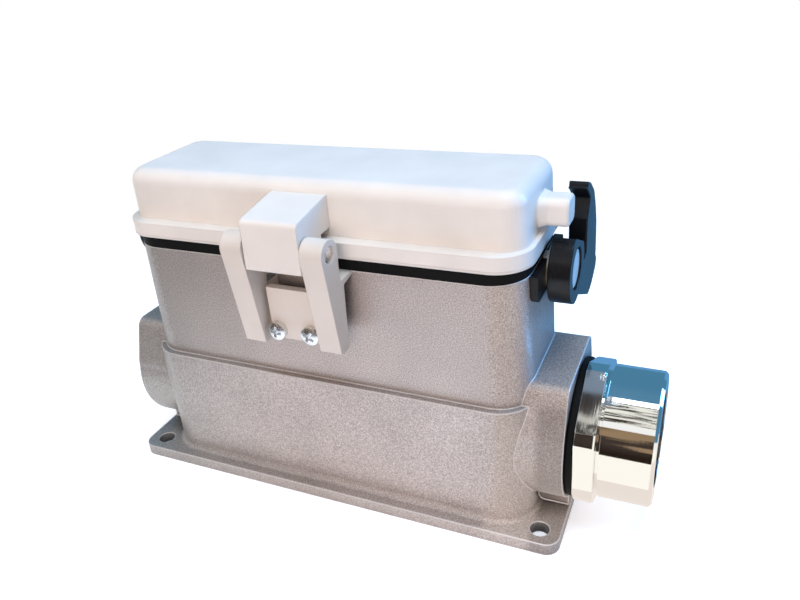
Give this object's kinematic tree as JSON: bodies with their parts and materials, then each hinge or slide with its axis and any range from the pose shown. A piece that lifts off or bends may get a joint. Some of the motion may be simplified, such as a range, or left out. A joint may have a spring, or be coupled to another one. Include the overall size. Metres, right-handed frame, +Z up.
{
  "type": "heavy duty rectangular connector",
  "caption": "Surface-mounted rectangular connector housing with a hinged cover, a locking lever, a side cable gland and a socket insert inside.",
  "frame": {"origin": "middle of the mounting flange's underside", "axes": "+X along the length towards the cable gland, +Y across, away from the cover's hinge, +Z up towards the cover"},
  "size_m": [0.166, 0.0667, 0.0997],
  "materials": {
    "housing_paint": "hammered grey paint on die-cast metal",
    "seal_rubber": "matt black rubber",
    "cover_plastic": "cream moulded plastic",
    "bracket_plastic": "beige moulded plastic",
    "zinc_steel": "zinc plated",
    "spring_steel": "drawn wire",
    "lever_plastic": "black glass-filled plastic",
    "pivot_plastic": "matt black plastic",
    "gland_chrome": "nickel plated, bright",
    "insert_plastic": "dark grey moulded plastic",
    "contact_brass": "plated copper alloy"
  },
  "bodies": {
    "base": {"base_housing": "housing_paint", "rim_seal": "seal_rubber", "hinge_bracket": "bracket_plastic", "bracket_screws": "zinc_steel", "hinge_pin": "zinc_steel", "hinge_spring": "spring_steel", "pivot_plate_right": "pivot_plastic", "pivot_plate_left": "pivot_plastic", "spring_washer_right": "spring_steel", "spring_washer_left": "spring_steel", "pivot_rivet_right": "zinc_steel", "pivot_rivet_left": "zinc_steel", "gland_seal_ring": "seal_rubber", "gland_body": "gland_chrome", "gland_sleeve": "gland_chrome", "gland_grommet": "seal_rubber", "gland_thrust_ring": "gland_chrome", "contact_insert": "insert_plastic", "socket_contacts": "contact_brass", "terminal_screws": "zinc_steel", "earth_plates": "zinc_steel", "earth_screws": "zinc_steel", "insert_screws": "zinc_steel"},
    "cover_body": {"cover": "cover_plastic"},
    "lever_body": {"locking_lever": "lever_plastic"}
  },
  "joints": [
    {"name": "cover_hinge", "type": "hinge", "parent": "base", "child": "cover_body", "pos_m": [0, -0.031, 0.086], "axis": [1, 0, 0], "range_deg": [0, 110]},
    {"name": "lever_pivot", "type": "hinge", "parent": "base", "child": "lever_body", "pos_m": [0, 0.0015, 0.0739], "axis": [1, 0, 0], "range_deg": [-10, 38]}
  ]
}
